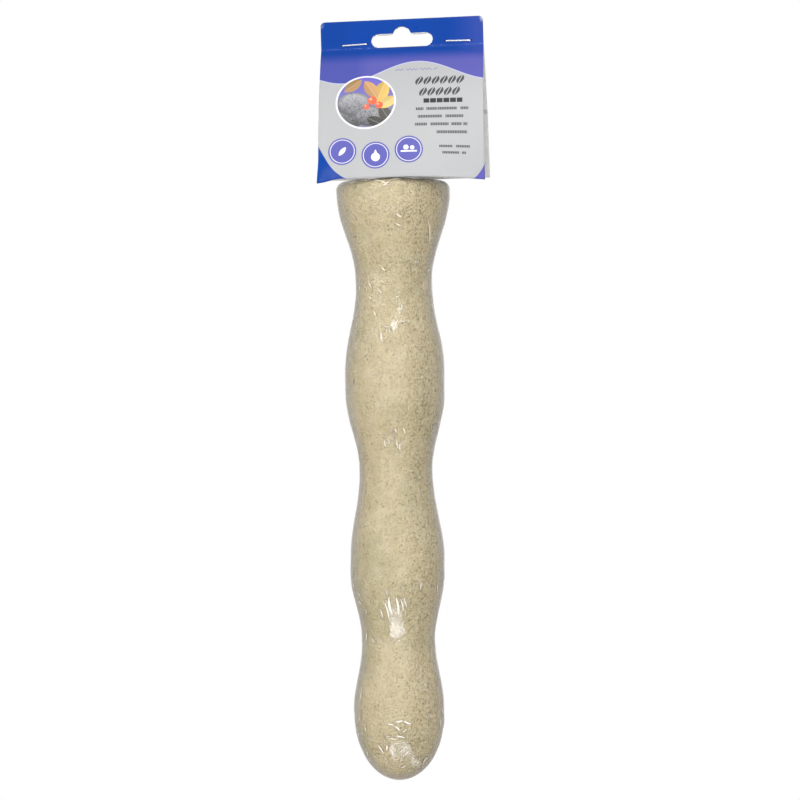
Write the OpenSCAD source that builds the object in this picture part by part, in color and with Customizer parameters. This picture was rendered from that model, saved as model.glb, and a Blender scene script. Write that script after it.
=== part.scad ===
// Cement perch for a bird cage, in its shop packing: a wavy casting on a hardwood core,
// with a threaded stud, two washers and a wing nut, shrunk into clear film that is
// stapled into a folded header card.
// It hangs from the card as in a shop, mounting end up. +Z is up, +X is to the right
// of the card's front and -Y is its front. The origin is the centre of the flat
// mounting face. Millimetres.

/* [Perch] */
// Length from the mounting face to the tip of the domed end
perch_len = 300; // [260:5:340]
// Diameter of the flared mounting end
flare_d = 56.5; // [53:0.5:60]
// Radius of the rim between the flare and the mounting face
rim_round = 4; // [3:0.5:5]
// Diameter of the waist nearest the mounting face
upper_waist_d = 37.4; // [32:0.2:42]
// Diameter of the first bulge
upper_bulge_d = 49.6; // [44:0.2:54]
// Diameter of the middle waist
middle_waist_d = 35.7; // [32:0.2:40]
// Diameter of the second bulge
middle_bulge_d = 46.8; // [42:0.2:52]
// Diameter of the waist nearest the domed end
lower_waist_d = 36.1; // [32:0.2:40]
// Diameter of the last bulge, which ends in the dome
lower_bulge_d = 44.4; // [40:0.2:50]

/* [Core and stud] */
// Diameter of the hardwood core
core_d = 18; // [14:1:22]
// Cement left beyond the inner end of the core
core_cover = 26; // [22:1:40]
// Gap left for glue round the core and the wood screw
glue_gap = 0.05; // [0.02:0.01:0.1]
// Thread diameter of the stud
stud_d = 6; // [5:0.5:6.5]
// Length of the stud outside the mounting face
stud_out = 35; // [32:1:38]
// Length of the wood screw end inside the core
screw_len = 32; // [20:1:45]
// Length of the point on the wood screw end
screw_point = 7; // [4:1:10]
// Width of the bevel on the stud's free end
stud_bevel = 0.8; // [0.4:0.1:1]

/* [Washers and wing nut] */
// Outer diameter of both washers
washer_d = 30; // [24:1:32]
// Thickness of both washers
washer_t = 1.6; // [1:0.1:2]
// Gap between a washer and the stud
washer_gap = 0.3; // [0.2:0.05:0.5]
// Gap round the inner washer in its seat in the cement
seat_gap = 0.3; // [0.2:0.05:0.6]
// Running clearance between the nut and the stud
thread_gap = 0.05; // [0.02:0.01:0.1]
// Diameter of the nut's hub where it bears on the washer
hub_d = 11.5; // [10.5:0.5:13]
// Diameter of the nut's hub at its top
hub_top_d = 9.6; // [9:0.1:10.4]
// Height of the nut's hub
hub_h = 7; // [6:0.5:8]
// Width of the bevel round the foot of the hub
hub_bevel = 0.6; // [0.3:0.1:0.8]
// Width of the nut across its wings
wing_span = 26; // [22:0.5:27]
// Height of the nut to the top of its wings
wing_h = 12.5; // [11:0.5:14]
// Thickness of a wing
wing_t = 2.2; // [1.6:0.1:3]
// Diameter of the round end of a wing
wing_end_d = 8; // [7:0.2:9]

/* [Film] */
// Thickness of the film
film_t = 0.3; // [0.2:0.05:0.4]
// Gap between the film and the cement
film_gap = 0.15; // [0.1:0.05:0.3]
// Width of the film's flat tail inside the card
tail_w = 72; // [70:1:78]
// Distance of the tail's top edge below the card's fold
tail_drop = 8.5; // [6:0.5:10]
// How far the film's neck swells past a straight run
neck_belly = 13; // [8:1:15]

/* [Header card] */
// Width of the card
card_w = 82; // [80:1:95]
// Length of each half of the card from its fold to its bottom edge
card_h = 87.2; // [84:0.2:95]
// Thickness of the board
card_t = 0.5; // [0.3:0.05:0.6]
// Flat stretch of each half between the fold and its crease
card_band = 14.3; // [14:0.1:18]
// How far the bottom edge of each half stands out from the middle
card_flare = 28; // [26:0.5:32]
// How far each half bows outwards below its crease
card_bow = 4; // [3.5:0.1:5]
// Radius of the card's top corners
card_corner = 2.5; // [1:0.5:4]
// Height of the card's bottom edges above the mounting face
card_clear = 0.6; // [0.5:0.1:2]
// How far the card hangs to the right of the perch's axis
card_shift = 5.4; // [4:0.2:6]
// Angle that the card is turned about the vertical, right end forwards
card_turn = 5.5; // [0:0.5:7]
// Angle that the card's right end is raised
card_tilt = 1; // [0:0.1:1.5]

/* [Hanging slot] */
// Width of the slot
slot_w = 31; // [28:1:32]
// Height of the slot without its lobe
slot_h = 6.8; // [6:0.2:7.2]
// Radius of the lobe that a hook seats in
lobe_r = 4.8; // [4:0.1:5]
// Distance of the lobe's top below the fold
lobe_drop = 3.9; // [3:0.1:5]
// Height of the lobe above the slot
lobe_rise = 3.4; // [2.8:0.1:3.8]

/* [Staples] */
// Width of a staple's crown
staple_w = 12.7; // [11:0.1:13]
// Width of the staple wire along the card
wire_w = 0.7; // [0.5:0.05:0.8]
// Thickness of the staple wire
wire_t = 0.5; // [0.4:0.05:0.6]
// Length of each folded leg behind the card
leg_fold = 4.8; // [4:0.1:5.2]
// Gap between a staple and the board or film
staple_gap = 0.06; // [0.04:0.01:0.1]
// Distance of the left staple from the card's middle
left_staple_x = 24; // [23.5:0.1:26]
// Distance of the right staple from the card's middle
right_staple_x = 28.3; // [24:0.1:28.4]
// Distance of the staples below the fold
staple_drop = 12.2; // [11.6:0.1:12.6]
// Slope of the left staple on the card
left_staple_slope = 1.6; // [-3:0.1:3]
// Slope of the right staple on the card
right_staple_slope = -1.2; // [-3:0.1:3]

/* [Hidden] */
$fn = 96;

// Overrun of a cut past the surface that it leaves
over = 1;

// Places of the waists and of the crowns of the bulges, as shares of the perch's length
upper_waist_share = 0.170;
upper_bulge_shares = [0.321, 0.351];
middle_waist_share = 0.485;
middle_bulge_shares = [0.630, 0.653];
lower_waist_share = 0.767;
lower_bulge_shares = [0.881, 0.894];
rim_steps = 8;
swell_steps = 8;
dome_steps = 12;

flare_r = flare_d / 2;
face_r = flare_r - rim_round;
dome_start = lower_bulge_shares[1] * perch_len;
dome_depth = perch_len - dome_start;
core_r = core_d / 2;
core_len = perch_len - core_cover;
stud_r = stud_d / 2;
screw_tip_r = stud_r / 5;
washer_r = washer_d / 2;
washer_hole_r = stud_r + washer_gap;

// Skin of film that lies on the cement, and where its neck rises from the rim
film_reach = film_gap + film_t;
// Gap between the film's skin and the foot of its neck
film_seam = 0.05;
neck_angle = 78;
neck_r = face_r + (rim_round + film_reach) * cos(neck_angle);
neck_z = film_reach + film_seam;
neck_rings = 8;
neck_sides = 40;
// Share of the neck, from its foot, at which its two walls have met
neck_shut_share = 0.93;
tail_t = 2 * film_t;
neck_top_w = tail_w - 2 * film_t;
neck_top_t = tail_t * 5 / 6;

// Half the space between the two halves of the card, and the outer radius of the fold
board_gap = film_t + film_gap;
fold_r = board_gap + card_t;
panel_top = [fold_r - card_t / 2, -card_band];
panel_drop = sqrt(pow(card_h - card_band, 2) - pow(card_flare, 2));
panel_foot = [card_flare, -card_band - panel_drop];
fold_z = card_clear + panel_drop + card_band;
bow_sides = 720;
slot_bottom = lobe_drop + lobe_rise + slot_h;
// Film cut away round the hanging slot
slot_margin = 0.8;

// Stations of the casting's outline: [depth below the mounting face, radius]
stations = [
    [rim_round, flare_r],
    [upper_waist_share * perch_len, upper_waist_d / 2],
    [upper_bulge_shares[0] * perch_len, upper_bulge_d / 2],
    [upper_bulge_shares[1] * perch_len, upper_bulge_d / 2],
    [middle_waist_share * perch_len, middle_waist_d / 2],
    [middle_bulge_shares[0] * perch_len, middle_bulge_d / 2],
    [middle_bulge_shares[1] * perch_len, middle_bulge_d / 2],
    [lower_waist_share * perch_len, lower_waist_d / 2],
    [lower_bulge_shares[0] * perch_len, lower_bulge_d / 2],
    [dome_start, lower_bulge_d / 2]
];

function mix(a, b, share) = a + (b - a) * share;

// Cosine swell from 0 to 1, level at both ends
function swell(share) = (1 - cos(180 * share)) / 2;

// Points from one station to the next, in one step where the radius stays the same
function swell_points(a, b, grow) =
    let (steps = a[1] == b[1] ? 1 : swell_steps)
    [for (i = [1:steps]) [mix(a[1], b[1], swell(i / steps)) + grow, -mix(a[0], b[0], i / steps)]];

// Quarter circle from the mounting face to the flare
function rim_points(grow) = [
    for (i = [0:rim_steps])
    let (angle = 90 * (1 - i / rim_steps))
    [face_r + (rim_round + grow) * cos(angle), -rim_round + (rim_round + grow) * sin(angle)]
];

// Quarter ellipse from the last bulge to the tip
function dome_points(grow) = [
    for (i = [1:dome_steps])
    let (angle = 90 * i / dome_steps)
    [(lower_bulge_d / 2 + grow) * cos(angle), -dome_start - (dome_depth + grow) * sin(angle)]
];

// Half section of the casting, grown outwards for the film that lies on it
module perch_section(grow) {
    swells = [for (i = [1:len(stations) - 1]) each swell_points(stations[i - 1], stations[i], grow)];
    polygon(concat([[0, grow]], rim_points(grow), swells, dome_points(grow)));
}

module perch_casting() {
    color("wheat")
    difference() {
        rotate_extrude() perch_section(0);
        translate([0, 0, -core_len - glue_gap])
            cylinder(r = core_r + glue_gap, h = core_len + over);
        translate([0, 0, -washer_t])
            cylinder(r = washer_r + seat_gap, h = washer_t + over);
    }
}

// The wood screw end of the stud, grown for the hole that it is driven into
module screw_end(grow) {
    straight = screw_len - screw_point;
    translate([0, 0, -straight])
        cylinder(r = stud_r + grow, h = straight);
    translate([0, 0, -screw_len - grow])
        cylinder(r1 = screw_tip_r + grow, r2 = stud_r + grow, h = screw_point + grow);
}

module core_dowel() {
    color("burlywood")
    difference() {
        translate([0, 0, -core_len])
            cylinder(r = core_r, h = core_len - washer_t);
        translate([0, 0, -washer_t])
            screw_end(glue_gap);
    }
}

module hanger_bolt() {
    color("silver") {
        translate([0, 0, -washer_t])
            screw_end(0);
        translate([0, 0, -washer_t])
            cylinder(r = stud_r, h = stud_out + washer_t - stud_bevel);
        translate([0, 0, stud_out - stud_bevel])
            cylinder(r1 = stud_r, r2 = stud_r - stud_bevel, h = stud_bevel);
    }
}

module washer() {
    difference() {
        cylinder(r = washer_r, h = washer_t);
        translate([0, 0, -over])
            cylinder(r = washer_hole_r, h = washer_t + 2 * over);
    }
}

// Inner washer, let into the cement flush with the mounting face
module perch_washer() {
    color("gainsboro")
    translate([0, 0, -washer_t])
        washer();
}

// Outer washer, which bears on the cage from the other side
module cage_washer() {
    color("gainsboro")
    washer();
}

// Outline of one wing, from the hub to its round end
module wing_outline() {
    end_r = wing_end_d / 2;
    root_r = end_r * 3 / 4;
    hull() {
        translate([hub_top_d / 2 - root_r / 2, hub_h - root_r])
            circle(r = root_r, $fn = 32);
        translate([wing_span / 2 - end_r, wing_h - end_r])
            circle(r = end_r, $fn = 32);
    }
}

module wing_nut() {
    color("silver")
    translate([0, 0, washer_t])
    difference() {
        union() {
            cylinder(r1 = hub_d / 2 - hub_bevel, r2 = hub_d / 2, h = hub_bevel);
            translate([0, 0, hub_bevel])
                cylinder(r1 = hub_d / 2, r2 = hub_top_d / 2, h = hub_h - hub_bevel);
            for (turn = [0, 180])
                rotate([0, 0, turn])
                rotate([90, 0, 0])
                linear_extrude(height = wing_t, center = true)
                    wing_outline();
        }
        translate([0, 0, -over])
            cylinder(r = stud_r + thread_gap, h = wing_h + 2 * over);
    }
}

// Place of a point given from the middle of the card's fold, in the perch's frame
function from_card(p) =
    let (
        x = p[0] * cos(card_tilt) - p[2] * sin(card_tilt),
        z = p[0] * sin(card_tilt) + p[2] * cos(card_tilt)
    )
    [card_shift + x * cos(card_turn) + p[1] * sin(card_turn), p[1] * cos(card_turn) - x * sin(card_turn), fold_z + z];

// The same placing for whole pieces
module on_card() {
    translate([card_shift, 0, fold_z])
    rotate([0, -card_tilt, -card_turn])
        children();
}

// Draws a flat outline upright across the card, cut through front to back
module through_card(depth) {
    rotate([90, 0, 0])
    linear_extrude(height = depth, center = true)
        children();
}

module rounded_rect(w, h, r) {
    square([w - 2 * r, h], center = true);
    square([w, h - 2 * r], center = true);
    for (x = [-1, 1], y = [-1, 1])
        translate([x * (w / 2 - r), y * (h / 2 - r)])
            circle(r = r);
}

// Point on the neck: up its height by a share, round it by an angle, its wall thinned inwards
function neck_point(share, angle, thin) =
    let (
        foot = [(neck_r - thin) * cos(angle), (neck_r - thin) * sin(angle), neck_z],
        top = from_card([(neck_top_w / 2 - thin) * cos(angle), (neck_top_t / 2 - thin) * sin(angle), -card_band]),
        belly = neck_belly * share * (1 - share) * sin(angle)
    )
    mix(foot, top, share) + [0, belly, 0];

function neck_ring(share, thin) = [for (i = [0:neck_sides - 1]) neck_point(share, 360 * i / neck_sides, thin)];

// Two triangles for each side between two rings of points, the second above the first
function band_faces(low, high) = [
    for (i = [0:neck_sides - 1])
    let (j = (i + 1) % neck_sides)
    each [[low + i, high + i, high + j], [low + i, high + j, low + j]]
];

function flipped(faces) = [for (f = faces) [f[2], f[1], f[0]]];

function fan_faces(ring) = [for (i = [1:neck_sides - 2]) [ring, ring + i + 1, ring + i]];

// The loft of the film's neck, from a round foot on the rim to a flat top at the card's crease
module neck_loft() {
    outer = [for (i = [0:neck_rings]) each neck_ring(i / neck_rings, 0)];
    inner = [for (i = [0:neck_rings]) each neck_ring(neck_shut_share * i / neck_rings, film_t)];
    first = len(outer);
    outer_faces = [for (i = [0:neck_rings - 1]) each band_faces(i * neck_sides, (i + 1) * neck_sides)];
    inner_faces = [
        for (i = [0:neck_rings - 1])
        each flipped(band_faces(first + i * neck_sides, first + (i + 1) * neck_sides))
    ];
    polyhedron(
        points = concat(outer, inner),
        faces = concat(
            outer_faces,
            inner_faces,
            flipped(band_faces(0, first)),
            fan_faces(neck_rings * neck_sides),
            flipped(fan_faces(first + neck_rings * neck_sides))
        ),
        convexity = 4
    );
}

// Outline of the hanging slot, with its lobe above, grown for the film
module slot_outline(grow) {
    translate([0, -slot_bottom + slot_h / 2])
        rounded_rect(slot_w + 2 * grow, slot_h + 2 * grow, slot_h / 2 + grow - over / 100);
    translate([0, -lobe_drop - lobe_r])
        circle(r = lobe_r + grow);
}

// Holes for both staples' legs
module leg_holes(grow) {
    for (place = [[-left_staple_x, left_staple_slope], [right_staple_x, right_staple_slope]])
        for (side = [-1, 1])
            translate([place[0], 0, -staple_drop])
            rotate([0, -place[1], 0])
            translate([side * (staple_w - wire_t) / 2, 0, 0])
                cube([wire_t + 2 * grow, 4 * fold_r, wire_w + 2 * grow], center = true);
}

// The flat tail of the film, where its two walls are pressed together and stapled
module film_tail() {
    lap = card_t * 4;
    difference() {
        through_card(tail_t)
            difference() {
                translate([-tail_w / 2, -card_band - lap])
                    square([tail_w, card_band + lap - tail_drop]);
                slot_outline(slot_margin);
            }
        leg_holes(staple_gap);
    }
}

// Skin of the film on the cement, up to a lip on the mounting face
module film_wrap() {
    color("lightcyan", 0.4)
    rotate_extrude()
        difference() {
            perch_section(film_reach);
            perch_section(film_gap);
            translate([0, -rim_round])
                square([neck_r - 2 * film_t, rim_round + 2 * film_reach]);
        }
}

// The rest of the same film, which runs up inside the card round the stud and the nut
module film_neck() {
    color("lightcyan", 0.4) {
        neck_loft();
        on_card() film_tail();
    }
}

// Section of one half of the card below its crease, an arc between the crease and the bottom edge
module panel_section() {
    chord = panel_foot - panel_top;
    outward = [-chord[1], chord[0]] / norm(chord);
    bow_r = (pow(norm(chord) / 2, 2) + pow(card_bow, 2)) / (2 * card_bow);
    centre = (panel_top + panel_foot) / 2 - outward * (bow_r - card_bow);
    // The wedge reaches past the arc by a tenth of its radius
    wedge_share = 1.1;
    intersection() {
        translate(centre)
            difference() {
                circle(r = bow_r + card_t / 2, $fn = bow_sides);
                circle(r = bow_r - card_t / 2, $fn = bow_sides);
            }
        polygon([centre, mix(centre, panel_top, wedge_share), mix(centre, panel_foot, wedge_share)]);
    }
    translate(panel_top)
        circle(d = card_t);
}

module card_section() {
    translate([0, -fold_r])
        difference() {
            circle(r = fold_r);
            circle(r = board_gap);
            translate([-fold_r - over, -fold_r - over])
                square([2 * (fold_r + over), fold_r + over]);
        }
    for (side = [0, 1])
        mirror([side, 0]) {
            translate([board_gap, -card_band])
                square([card_t, card_band - fold_r]);
            panel_section();
        }
}

module header_card() {
    color("royalblue")
    on_card()
    difference() {
        intersection() {
            rotate([90, 0, 90])
                linear_extrude(height = card_w, center = true)
                card_section();
            through_card(4 * card_flare)
                translate([0, -card_h])
                rounded_rect(card_w + over / 100, 2 * card_h, card_corner);
        }
        through_card(4 * fold_r)
            slot_outline(0);
        leg_holes(staple_gap);
    }
}

// Staple driven from the front, its two legs folded towards each other behind the card
module staple(x, slope) {
    depth = 2 * (fold_r + staple_gap + wire_t);
    opening = staple_w - 2 * leg_fold;
    on_card()
    translate([x, 0, -staple_drop])
    rotate([0, -slope, 0])
    linear_extrude(height = wire_w, center = true)
        difference() {
            rounded_rect(staple_w, depth, wire_t);
            square([staple_w - 2 * wire_t, depth - 2 * wire_t], center = true);
            translate([-opening / 2, 0])
                square([opening, depth]);
        }
}

module staple_left() {
    color("silver") staple(-left_staple_x, left_staple_slope);
}

module staple_right() {
    color("silver") staple(right_staple_x, right_staple_slope);
}

perch_casting();
core_dowel();
hanger_bolt();
perch_washer();
cage_washer();
wing_nut();
film_wrap();
film_neck();
header_card();
staple_left();
staple_right();
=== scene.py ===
import math

import bpy
import numpy as np
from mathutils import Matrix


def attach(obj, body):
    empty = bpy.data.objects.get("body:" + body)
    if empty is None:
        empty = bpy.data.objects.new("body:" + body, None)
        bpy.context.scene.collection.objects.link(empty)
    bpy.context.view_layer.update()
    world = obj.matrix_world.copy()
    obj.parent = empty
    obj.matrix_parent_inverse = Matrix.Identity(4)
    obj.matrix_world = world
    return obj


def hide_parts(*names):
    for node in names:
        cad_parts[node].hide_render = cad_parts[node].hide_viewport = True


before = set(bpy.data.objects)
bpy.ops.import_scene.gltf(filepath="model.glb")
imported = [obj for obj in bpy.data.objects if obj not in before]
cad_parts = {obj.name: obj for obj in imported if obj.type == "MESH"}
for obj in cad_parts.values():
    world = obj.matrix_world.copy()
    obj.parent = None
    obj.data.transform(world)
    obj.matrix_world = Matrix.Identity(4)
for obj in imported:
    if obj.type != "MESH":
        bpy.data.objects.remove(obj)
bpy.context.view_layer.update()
mm = 0.001
print("frame loaded:", len(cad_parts), "nodes")


# Meshes

def newObject(name, data):
    made = bpy.data.objects.new(name, data)
    bpy.context.scene.collection.objects.link(made)
    return made


# Puts points and faces of three or four corners into a new smooth object at the origin
def makeObject(name, points, faces, sizes):
    mesh = bpy.data.meshes.new(name)
    mesh.vertices.add(len(points))
    mesh.vertices.foreach_set("co", np.asarray(points, np.float32).ravel())
    mesh.loops.add(len(faces))
    mesh.loops.foreach_set("vertex_index", np.asarray(faces, np.int32))
    starts = np.concatenate([[0], np.cumsum(sizes)[:-1]])
    mesh.polygons.add(len(sizes))
    mesh.polygons.foreach_set("loop_start", starts.astype(np.int32))
    mesh.polygons.foreach_set("loop_total", np.asarray(sizes, np.int32))
    mesh.polygons.foreach_set("use_smooth", np.ones(len(sizes), bool))
    mesh.update(calc_edges=True)
    mesh.validate()
    return newObject(name, mesh)


# Corner numbers of a grid of rows by columns, counter-clockwise seen from outside
def gridFaces(rows, columns, wrap, first=0):
    row = np.arange(rows - 1)[:, None] * columns
    column = np.arange(columns if wrap else columns - 1)[None, :]
    after = (column + 1) % columns
    quads = np.stack([row + column, row + after, row + columns + after, row + columns + column], -1)
    return quads.reshape(-1, 4) + first


# Points and faces of a skin of rings, closed by a fan on a point at each end
def tubeParts(rings, startPoint, endPoint, first=0):
    rows, columns = rings.shape[:2]
    points = np.concatenate([rings.reshape(-1, 3), [startPoint], [endPoint]])
    quads = gridFaces(rows, columns, True, first)
    column = np.arange(columns)
    after = (column + 1) % columns
    startFan = np.stack([after, column, np.full(columns, rows * columns)], -1) + first
    last = (rows - 1) * columns
    endFan = np.stack([last + column, last + after, np.full(columns, rows * columns + 1)], -1) + first
    faces = np.concatenate([quads.ravel(), startFan.ravel(), endFan.ravel()])
    return points, faces, [4] * len(quads) + [3] * (2 * columns)


def closedTube(name, rings, startPoint, endPoint):
    return makeObject(name, *tubeParts(rings, startPoint, endPoint))


# Faces of a skin of rings whose last ring meets its first, such as a shell with an inner and an outer wall
def ringFaces(rings):
    rows, columns = rings.shape[:2]
    return gridFaces(rows + 1, columns, True) % (rows * columns)


def closedRing(name, rings):
    quads = ringFaces(rings)
    return makeObject(name, rings.reshape(-1, 3), quads.ravel(), [4] * len(quads))


def giveAttribute(made, name, values):
    attribute = made.data.attributes.new(name, "FLOAT", "POINT")
    attribute.data.foreach_set("value", np.asarray(values, np.float32).ravel())


# From 0 to 1, level at both ends
def ease(share):
    share = np.clip(share, 0, 1)
    return share * share * (3 - 2 * share)


# A sine or cosine raised to a power with its sign kept, which squares or sharpens a round section
def keepSign(value, power):
    return np.sign(value) * np.abs(value) ** power


# A sum of waves with whole numbers of turns round the axis, so that it has no seam
def turningWaves(angle, height, count, turns, length, seed):
    draw = np.random.default_rng(seed)
    total = np.zeros(np.broadcast(angle, height).shape)
    for wave in range(count):
        turned = draw.integers(-turns, turns + 1) * angle
        total += np.sin(turned + draw.normal() * 2 * math.pi * height / length + draw.uniform(0, 2 * math.pi))
    return total / math.sqrt(count)


def roundOf(count):
    return np.linspace(0, 2 * math.pi, count, endpoint=False)[None, :]


def roundAxis(radius, angle, height):
    return np.stack([radius * np.cos(angle), radius * np.sin(angle), height + 0 * angle], -1)


# Rings round the axis: each point of a profile moved out along its normal
def ringsRound(radius, height, angle, outR=0.0, outZ=0.0, lift=0.0):
    ringR = radius[:, None] + np.reshape(outR, (-1, 1)) * lift
    ringZ = height[:, None] + np.reshape(outZ, (-1, 1)) * lift
    return roundAxis(ringR, angle, ringZ)


# A closed profile of (radius, height) pairs with each corner cut back by a small bevel
def bevelled(corners, cut):
    corners = np.array(corners, float)
    before, after = np.roll(corners, 1, 0) - corners, np.roll(corners, -1, 0) - corners
    toBefore = before / np.linalg.norm(before, axis=1)[:, None]
    toAfter = after / np.linalg.norm(after, axis=1)[:, None]
    middle = corners + 0.29 * cut * (toBefore + toAfter)
    return np.stack([corners + toBefore * cut, middle, corners + toAfter * cut], 1).reshape(-1, 2)


# Materials

# One output socket. Expressions on it add Math nodes, and add() makes any other node.
class Wire:
    def __init__(self, tree, socket=None):
        self.tree = tree
        self.socket = socket

    def add(self, kind, settings=None, values=None, out=0):
        node = self.tree.nodes.new(kind)
        for key, value in (settings or {}).items():
            setattr(node, key, value)
        for key, value in (values or {}).items():
            if isinstance(value, Wire):
                self.tree.links.new(value.socket, node.inputs[key])
            else:
                node.inputs[key].default_value = value
        return Wire(self.tree, node.outputs[out] if node.outputs else None)

    # Another output of the same node
    def also(self, out):
        return Wire(self.tree, self.socket.node.outputs[out])

    def maths(self, operation, *terms):
        return self.add("ShaderNodeMath", {"operation": operation}, dict(enumerate(terms)))

    def __add__(self, other):
        return self.maths("ADD", self, other)

    def __sub__(self, other):
        return self.maths("SUBTRACT", self, other)

    def __rsub__(self, other):
        return self.maths("SUBTRACT", other, self)

    def __mul__(self, other):
        return self.maths("MULTIPLY", self, other)

    def __truediv__(self, other):
        return self.maths("DIVIDE", self, other)

    def __pow__(self, other):
        return self.maths("POWER", self, other)

    __radd__, __rmul__ = __add__, __mul__

    def atLeast(self, other):
        return self.maths("MAXIMUM", self, other)

    def atMost(self, other):
        return self.maths("MINIMUM", self, other)

    def size(self):
        return self.maths("ABSOLUTE", self)

    def wave(self):
        return self.maths("SINE", self)

    # From 0 at low to 1 at high, level at both ends
    def between(self, low, high):
        values = {"Value": self, "From Min": low, "From Max": high}
        return self.add("ShaderNodeMapRange", {"interpolation_type": "SMOOTHSTEP"}, values)

    # This wire is the share of the second colour
    def blend(self, first, second):
        return self.add("ShaderNodeMix", {"data_type": "RGBA"}, {0: self, 6: first, 7: second}, out=2)

    def noise(self, scale, detail=2.0, rough=0.5):
        values = {"Vector": self, "Scale": scale, "Detail": detail, "Roughness": rough}
        return self.add("ShaderNodeTexNoise", None, values)

    # Scales and turns a pattern's places, so that it can be drawn out or centred
    def placed(self, scale=(1, 1, 1), turn=(0, 0, 0), move=(0, 0, 0)):
        values = {"Vector": self, "Scale": scale, "Rotation": turn, "Location": move}
        return self.add("ShaderNodeMapping", None, values)

    def vectors(self, operation, other, out=0):
        return self.add("ShaderNodeVectorMath", {"operation": operation}, {0: self, 1: other}, out)

    def part(self, axis):
        return self.add("ShaderNodeSeparateXYZ", None, {0: self}, out="XYZ".index(axis))

    def attribute(self, name):
        return self.add("ShaderNodeAttribute", {"attribute_name": name}, out=2)

    def bump(self, distance, strength=1.0):
        return self.add("ShaderNodeBump", None, {"Height": self, "Distance": distance, "Strength": strength})

    def principled(self, values):
        return self.add("ShaderNodeBsdfPrincipled", None, values)

    def mixShader(self, first, second):
        return self.add("ShaderNodeMixShader", None, {0: self, 1: first, 2: second})


def newMaterial(name):
    material = bpy.data.materials.new(name)
    material.use_nodes = True
    material.node_tree.nodes.clear()
    start = Wire(material.node_tree)
    return material, start, start.add("ShaderNodeTexCoord", out=3)


def finished(material, shader):
    shader.add("ShaderNodeOutputMaterial", None, {"Surface": shader})
    return material


def colour(red, green, blue):
    return (red, green, blue, 1)


def dress(made, material, stands, body="packed_perch"):
    made.data.materials.append(material)
    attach(made, body)
    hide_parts(*stands)
    return made


# The perch's outline, shared by the cement and the film on it

perch = {
    "length": 300 * mm,
    "faceRadius": 24.25 * mm,
    "rimRound": 4 * mm,
    "rimPoints": 13,
    # Places along the length as shares, and the radius at each in millimetres
    "shares": [4 / 300, 0.170, 0.321, 0.351, 0.485, 0.630, 0.653, 0.767, 0.881, 0.894],
    "radii": [28.25, 18.7, 24.8, 24.8, 17.85, 23.4, 23.4, 18.05, 22.2, 22.2],
    # The dome's last ring in degrees, and its points for each step of its depth
    "domeEnd": 88.5,
    "domePoints": 1.25,
    "lumpHeight": 0.22 * mm,
    # Lengths over which the lumps grow from the tip and from the face
    "lumpFade": (14 * mm, 9 * mm),
    # Broad and small lumps: waves, most turns of a wave, length, share
    "lumpWaves": [(26, 4, 46 * mm, 0.75), (40, 14, 13 * mm, 0.25)],
    "seed": 11,
}


# Radius and height up the outside from the tip: a quarter ellipse, cosine swells, a quarter circle at the rim
def perchOutline(step):
    corner = np.radians(np.linspace(90, 0, perch["rimPoints"]))
    rimR = perch["faceRadius"] + perch["rimRound"] * np.cos(corner)
    rimZ = -perch["rimRound"] + perch["rimRound"] * np.sin(corner)
    places = np.array(perch["shares"]) * perch["length"]
    radii = np.array(perch["radii"]) * mm
    depth = np.arange(places[0] + step, places[-1], step)
    leg = np.clip(np.searchsorted(places, depth) - 1, 0, len(places) - 2)
    share = (depth - places[leg]) / (places[leg + 1] - places[leg])
    bodyR = radii[leg] + (radii[leg + 1] - radii[leg]) * (1 - np.cos(np.pi * share)) / 2
    domeDepth = perch["length"] - places[-1]
    dome = np.radians(np.linspace(0, perch["domeEnd"], int(domeDepth * perch["domePoints"] / step)))
    radius = np.concatenate([rimR, bodyR, radii[-1] * np.cos(dome)])[::-1]
    height = np.concatenate([rimZ, -depth, -places[-1] - domeDepth * np.sin(dome)])[::-1]
    # Outward direction at each point
    alongR, alongZ = np.gradient(radius), np.gradient(height)
    size = np.hypot(alongR, alongZ)
    outR, outZ = alongZ / size, -alongR / size
    outR[-1], outZ[-1] = 0, 1
    return radius, height, outR, outZ


# The casting's slight unevenness, which ends before the tip and the mounting face
def lumps(angle, height):
    fromTip, fromFace = perch["lumpFade"]
    fade = ease((height + perch["length"]) / fromTip) * ease(-height / fromFace)
    waves = 0
    for number, (count, turns, length, share) in enumerate(perch["lumpWaves"]):
        waves = waves + share * turningWaves(angle, height, count, turns, length, perch["seed"] + number)
    return fade * perch["lumpHeight"] * waves


# The strongest of some spots at each place: full up to a distance, in a spot's half widths and half heights,
# and falling over an edge past it
def strongest(spots, angle, height, radius, full, edge):
    most = 0
    for turned, at, wide, tall, strength in spots:
        across = (np.degrees(angle) + 90 - turned + 180) % 360 - 180
        away = np.hypot(np.radians(across) * radius / (wide * mm), (height - at * mm) / (tall * mm))
        most = np.maximum(most, strength * (1 - ease((away - full) / edge)))
    return most


# Cement casting

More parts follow.
